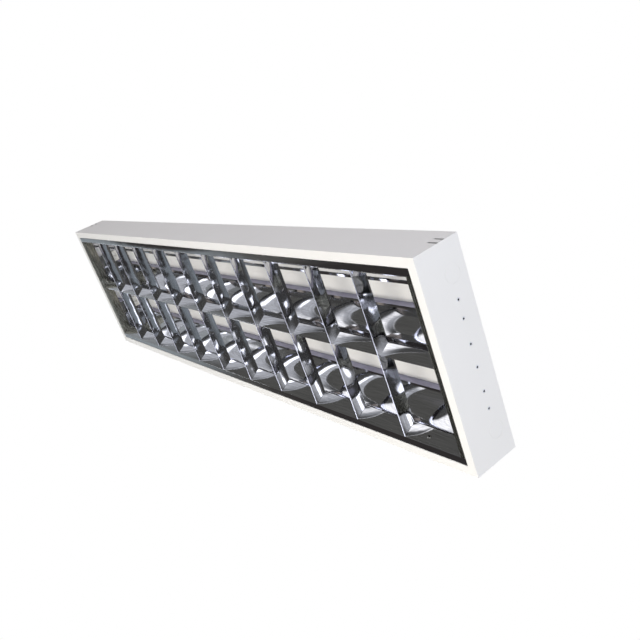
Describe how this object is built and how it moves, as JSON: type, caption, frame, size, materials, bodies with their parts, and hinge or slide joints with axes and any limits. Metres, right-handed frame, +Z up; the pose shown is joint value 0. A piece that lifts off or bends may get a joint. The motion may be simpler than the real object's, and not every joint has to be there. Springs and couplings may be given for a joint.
{
  "type": "recessed troffer light",
  "caption": "Long shallow white steel ceiling box with a drop-down mirror louvre: V cross blades and a centre divider below curved lamp mirrors, control gear inside.",
  "frame": {"origin": "centre of the back (upper) face", "axes": "+X along the luminaire, +Y across it towards the catch side of the louvre, +Z up into the ceiling out of the back face"},
  "size_m": [1.2478, 0.31, 0.075],
  "materials": {
    "white_enamel": "satin white powder coat on steel",
    "zinc_steel": "bright zinc plate",
    "mirror_aluminium": "bright anodised mirror",
    "white_plastic": "moulded",
    "rotor_plastic": "moulded",
    "bronze": "bright",
    "ballast_steel": "enamelled laminations",
    "capacitor_can": "drawn can",
    "black_rubber": "matt",
    "wire_insulation": "PVC"
  },
  "bodies": {
    "box": {"housing": "white_enamel", "end_cap_right": "white_enamel", "end_cap_left": "white_enamel", "end_rivets": "zinc_steel", "mirror_end_plate_right": "mirror_aluminium", "mirror_end_plate_left": "mirror_aluminium", "outer_mirror_a": "mirror_aluminium", "outer_mirror_b": "mirror_aluminium", "gear_cover": "mirror_aluminium", "mirror_screws": "zinc_steel", "lampholder_bracket_right_a": "zinc_steel", "lampholder_bracket_right_b": "zinc_steel", "lampholder_bracket_left_a": "zinc_steel", "lampholder_bracket_left_b": "zinc_steel", "lampholder_right_a": "white_plastic", "lampholder_right_b": "white_plastic", "lampholder_left_a": "white_plastic", "lampholder_left_b": "white_plastic", "lamp_contacts": "bronze", "gear_tray": "zinc_steel", "ballast_right": "ballast_steel", "ballast_left": "ballast_steel", "ballast_terminals": "white_plastic", "capacitor": "capacitor_can", "capacitor_clip": "zinc_steel", "terminal_block": "white_plastic", "terminal_screws": "bronze", "starter_holder_right": "white_plastic", "starter_holder_left": "white_plastic", "cable_grommet": "black_rubber", "earth_stud": "zinc_steel", "channel_wiring": "wire_insulation", "wire_clips": "white_plastic", "hinge_brackets": "zinc_steel", "hinge_pins": "zinc_steel", "louvre_catches": "zinc_steel"},
    "louvre": {"louvre_hinge_rail": "mirror_aluminium", "louvre_catch_rail": "mirror_aluminium", "louvre_end_rail_right": "mirror_aluminium", "louvre_end_rail_left": "mirror_aluminium", "louvre_divider": "mirror_aluminium", "cross_blade_01": "mirror_aluminium", "cross_blade_02": "mirror_aluminium", "cross_blade_03": "mirror_aluminium", "cross_blade_04": "mirror_aluminium", "cross_blade_05": "mirror_aluminium", "cross_blade_06": "mirror_aluminium", "cross_blade_07": "mirror_aluminium", "cross_blade_08": "mirror_aluminium", "cross_blade_09": "mirror_aluminium", "cross_blade_10": "mirror_aluminium"},
    "rotor_right_a": {"lamp_rotor_right_a": "rotor_plastic"},
    "rotor_right_b": {"lamp_rotor_right_b": "rotor_plastic"},
    "rotor_left_a": {"lamp_rotor_left_a": "rotor_plastic"},
    "rotor_left_b": {"lamp_rotor_left_b": "rotor_plastic"},
    "starter_right": {"starter_right": "white_plastic"},
    "starter_left": {"starter_left": "white_plastic"}
  },
  "joints": [
    {"name": "louvre_hinge", "type": "hinge", "parent": "box", "child": "louvre", "pos_m": [0, -0.1399, -0.0737], "axis": [-1, 0, 0], "range_deg": [0, 88]},
    {"name": "lamp_turn_right_a", "type": "hinge", "parent": "box", "child": "rotor_right_a", "pos_m": [0.6044, -0.065, -0.018], "axis": [1, 0, 0], "range_deg": [0, 90]},
    {"name": "lamp_turn_right_b", "type": "hinge", "parent": "box", "child": "rotor_right_b", "pos_m": [0.6044, 0.065, -0.018], "axis": [1, 0, 0], "range_deg": [0, 90]},
    {"name": "lamp_turn_left_a", "type": "hinge", "parent": "box", "child": "rotor_left_a", "pos_m": [-0.6044, -0.065, -0.018], "axis": [1, 0, 0], "range_deg": [0, 90]},
    {"name": "lamp_turn_left_b", "type": "hinge", "parent": "box", "child": "rotor_left_b", "pos_m": [-0.6044, 0.065, -0.018], "axis": [1, 0, 0], "range_deg": [0, 90]},
    {"name": "starter_turn_right", "type": "hinge", "parent": "box", "child": "starter_right", "pos_m": [0.5, 0, -0.03], "axis": [0, 0, 1], "range_deg": [0, 45]},
    {"name": "starter_turn_left", "type": "hinge", "parent": "box", "child": "starter_left", "pos_m": [-0.5, 0, -0.03], "axis": [0, 0, 1], "range_deg": [0, 45]}
  ]
}
